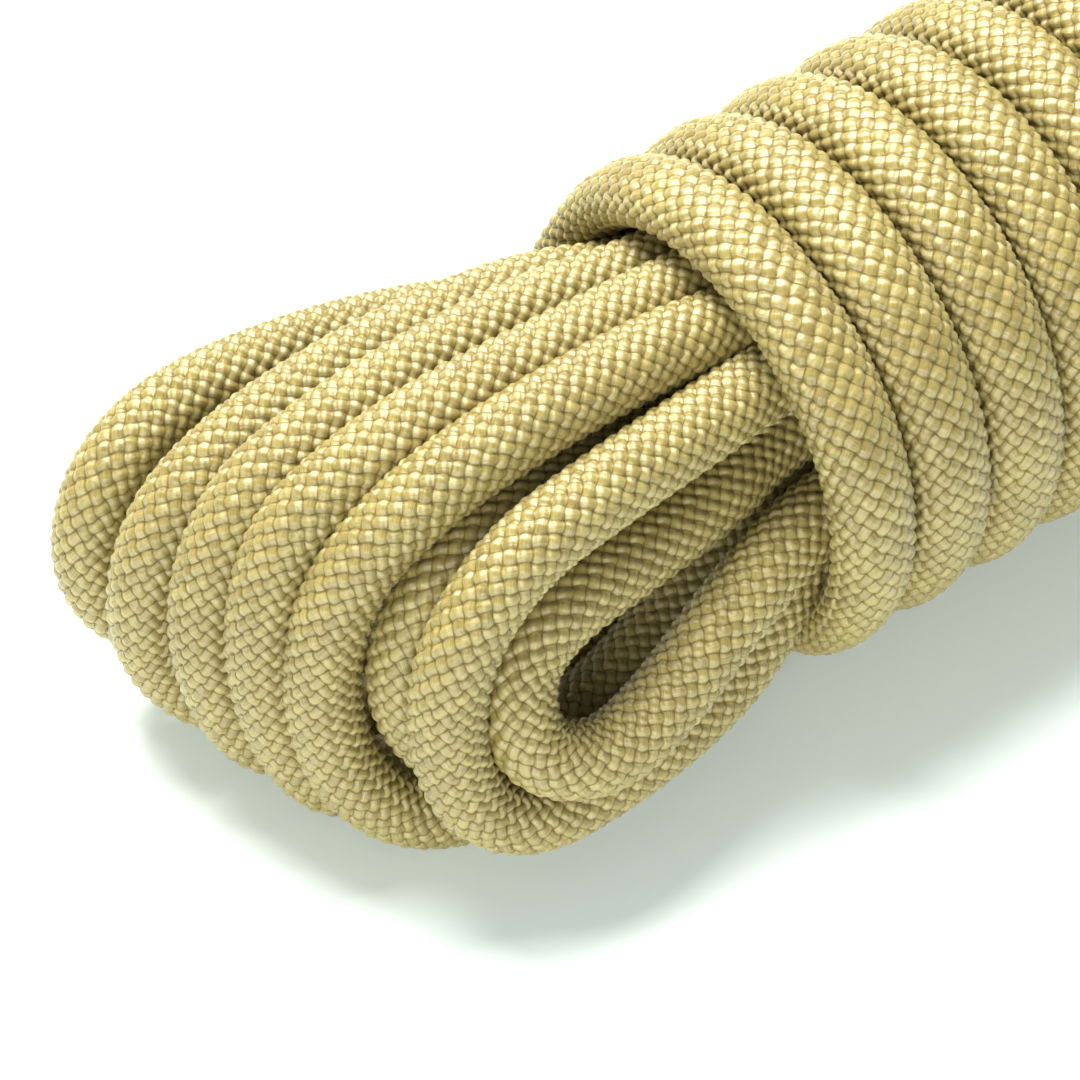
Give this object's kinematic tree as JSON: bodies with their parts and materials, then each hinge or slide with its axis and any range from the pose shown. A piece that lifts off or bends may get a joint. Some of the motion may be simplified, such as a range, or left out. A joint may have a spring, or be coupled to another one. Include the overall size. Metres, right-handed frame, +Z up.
{
  "type": "hank of braided cord",
  "caption": "Retail hank of thin braided kernmantle cord: lengthwise bights held by a tight wrap of the same cord, both ends heat-sealed.",
  "frame": {"origin": "middle of the flat underside on which the wrapped middle rests", "axes": "+X along the hank, away from the front bights; +Z up; +Y to the side where the working end comes out"},
  "size_m": [0.1872, 0.0392, 0.0274],
  "materials": {
    "cord_sheath": "satin braided nylon",
    "core_yarn": "undyed twisted yarn",
    "sealed_tip": "melted nylon"
  },
  "bodies": {
    "root": {"wrapped_middle": "cord_sheath", "front_bights": "cord_sheath", "back_bights": "cord_sheath", "standing_end_sheath": "cord_sheath", "standing_end_core_yarn_1": "core_yarn", "standing_end_core_yarn_2": "core_yarn", "standing_end_core_yarn_3": "core_yarn", "standing_end_core_yarn_4": "core_yarn", "standing_end_core_yarn_5": "core_yarn", "standing_end_core_yarn_6": "core_yarn", "standing_end_core_yarn_7": "core_yarn", "standing_end_sealed_tip": "sealed_tip", "working_end_sheath": "cord_sheath", "working_end_core_yarn_1": "core_yarn", "working_end_core_yarn_2": "core_yarn", "working_end_core_yarn_3": "core_yarn", "working_end_core_yarn_4": "core_yarn", "working_end_core_yarn_5": "core_yarn", "working_end_core_yarn_6": "core_yarn", "working_end_core_yarn_7": "core_yarn", "working_end_sealed_tip": "sealed_tip"}
  },
  "joints": []
}
